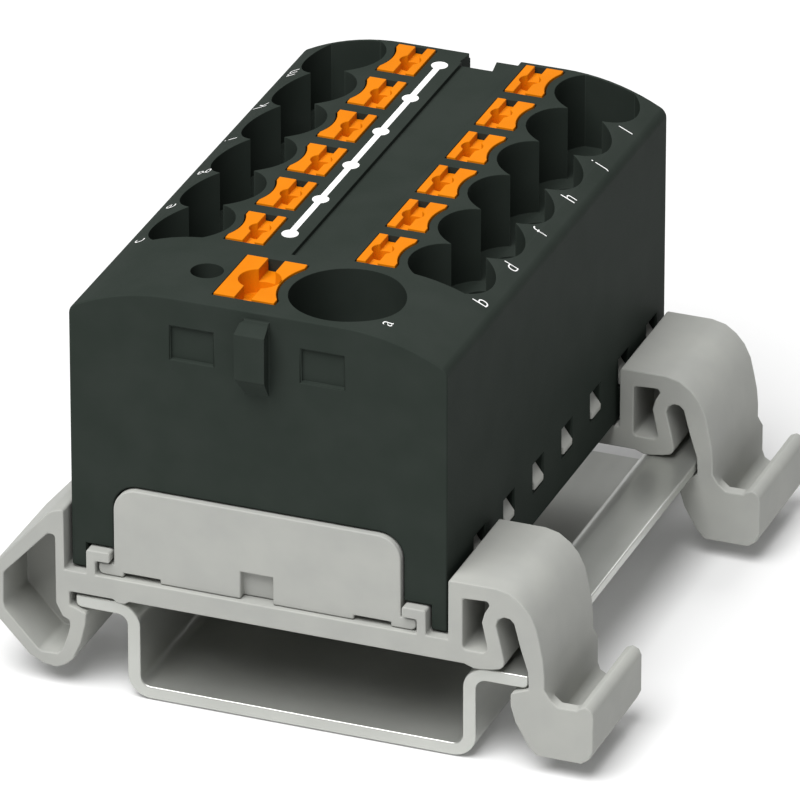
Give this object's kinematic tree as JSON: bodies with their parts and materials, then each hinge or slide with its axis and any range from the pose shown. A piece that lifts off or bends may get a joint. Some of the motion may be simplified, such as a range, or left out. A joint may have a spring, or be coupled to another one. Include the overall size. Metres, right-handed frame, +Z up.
{
  "type": "push-in power distribution block on rail feet",
  "caption": "Push-in power distribution block with sprung release buttons, held by two snap feet on a short length of top-hat rail.",
  "frame": {"origin": "middle of the rail's flat underside", "axes": "+X across the rail towards the feet's release lugs, +Y along the rail away from the large terminal, +Z up out of the rail"},
  "size_m": [0.0467, 0.0478, 0.0328],
  "materials": {
    "black_plastic": "fine satin moulding",
    "grey_plastic": "satin moulding",
    "orange_plastic": "satin moulding",
    "zinc_steel": "passivated zinc plating",
    "tinned_copper": "bright tin plating",
    "spring_steel": "bright rolled strip"
  },
  "bodies": {
    "block": {"housing": "black_plastic", "base": "grey_plastic", "current_bar": "tinned_copper", "rail_foot_front": "grey_plastic", "rail_foot_rear": "grey_plastic", "mounting_rail": "zinc_steel", "clamp_spring_a": "spring_steel", "clamp_spring_b": "spring_steel", "clamp_spring_c": "spring_steel", "clamp_spring_d": "spring_steel", "clamp_spring_e": "spring_steel", "clamp_spring_f": "spring_steel", "clamp_spring_g": "spring_steel", "clamp_spring_h": "spring_steel", "clamp_spring_i": "spring_steel", "clamp_spring_j": "spring_steel", "clamp_spring_k": "spring_steel", "clamp_spring_l": "spring_steel", "clamp_spring_m": "spring_steel"},
    "press_a": {"button_a": "orange_plastic"},
    "press_b": {"button_b": "orange_plastic"},
    "press_c": {"button_c": "orange_plastic"},
    "press_d": {"button_d": "orange_plastic"},
    "press_e": {"button_e": "orange_plastic"},
    "press_f": {"button_f": "orange_plastic"},
    "press_g": {"button_g": "orange_plastic"},
    "press_h": {"button_h": "orange_plastic"},
    "press_i": {"button_i": "orange_plastic"},
    "press_j": {"button_j": "orange_plastic"},
    "press_k": {"button_k": "orange_plastic"},
    "press_l": {"button_l": "orange_plastic"},
    "press_m": {"button_m": "orange_plastic"}
  },
  "joints": [
    {"name": "press_a_slide", "type": "slide", "parent": "block", "child": "press_a", "axis": [0, 0, -1], "range_m": [0, 0.0015], "stiffness_N_per_m": 9000, "deforming": ["clamp_spring_a"]},
    {"name": "press_b_slide", "type": "slide", "parent": "block", "child": "press_b", "axis": [0, 0, -1], "range_m": [0, 0.0015], "stiffness_N_per_m": 6000, "deforming": ["clamp_spring_b"]},
    {"name": "press_c_slide", "type": "slide", "parent": "block", "child": "press_c", "axis": [0, 0, -1], "range_m": [0, 0.0015], "stiffness_N_per_m": 6000, "deforming": ["clamp_spring_c"]},
    {"name": "press_d_slide", "type": "slide", "parent": "block", "child": "press_d", "axis": [0, 0, -1], "range_m": [0, 0.0015], "stiffness_N_per_m": 6000, "deforming": ["clamp_spring_d"]},
    {"name": "press_e_slide", "type": "slide", "parent": "block", "child": "press_e", "axis": [0, 0, -1], "range_m": [0, 0.0015], "stiffness_N_per_m": 6000, "deforming": ["clamp_spring_e"]},
    {"name": "press_f_slide", "type": "slide", "parent": "block", "child": "press_f", "axis": [0, 0, -1], "range_m": [0, 0.0015], "stiffness_N_per_m": 6000, "deforming": ["clamp_spring_f"]},
    {"name": "press_g_slide", "type": "slide", "parent": "block", "child": "press_g", "axis": [0, 0, -1], "range_m": [0, 0.0015], "stiffness_N_per_m": 6000, "deforming": ["clamp_spring_g"]},
    {"name": "press_h_slide", "type": "slide", "parent": "block", "child": "press_h", "axis": [0, 0, -1], "range_m": [0, 0.0015], "stiffness_N_per_m": 6000, "deforming": ["clamp_spring_h"]},
    {"name": "press_i_slide", "type": "slide", "parent": "block", "child": "press_i", "axis": [0, 0, -1], "range_m": [0, 0.0015], "stiffness_N_per_m": 6000, "deforming": ["clamp_spring_i"]},
    {"name": "press_j_slide", "type": "slide", "parent": "block", "child": "press_j", "axis": [0, 0, -1], "range_m": [0, 0.0015], "stiffness_N_per_m": 6000, "deforming": ["clamp_spring_j"]},
    {"name": "press_k_slide", "type": "slide", "parent": "block", "child": "press_k", "axis": [0, 0, -1], "range_m": [0, 0.0015], "stiffness_N_per_m": 6000, "deforming": ["clamp_spring_k"]},
    {"name": "press_l_slide", "type": "slide", "parent": "block", "child": "press_l", "axis": [0, 0, -1], "range_m": [0, 0.0015], "stiffness_N_per_m": 6000, "deforming": ["clamp_spring_l"]},
    {"name": "press_m_slide", "type": "slide", "parent": "block", "child": "press_m", "axis": [0, 0, -1], "range_m": [0, 0.0015], "stiffness_N_per_m": 6000, "deforming": ["clamp_spring_m"]}
  ]
}
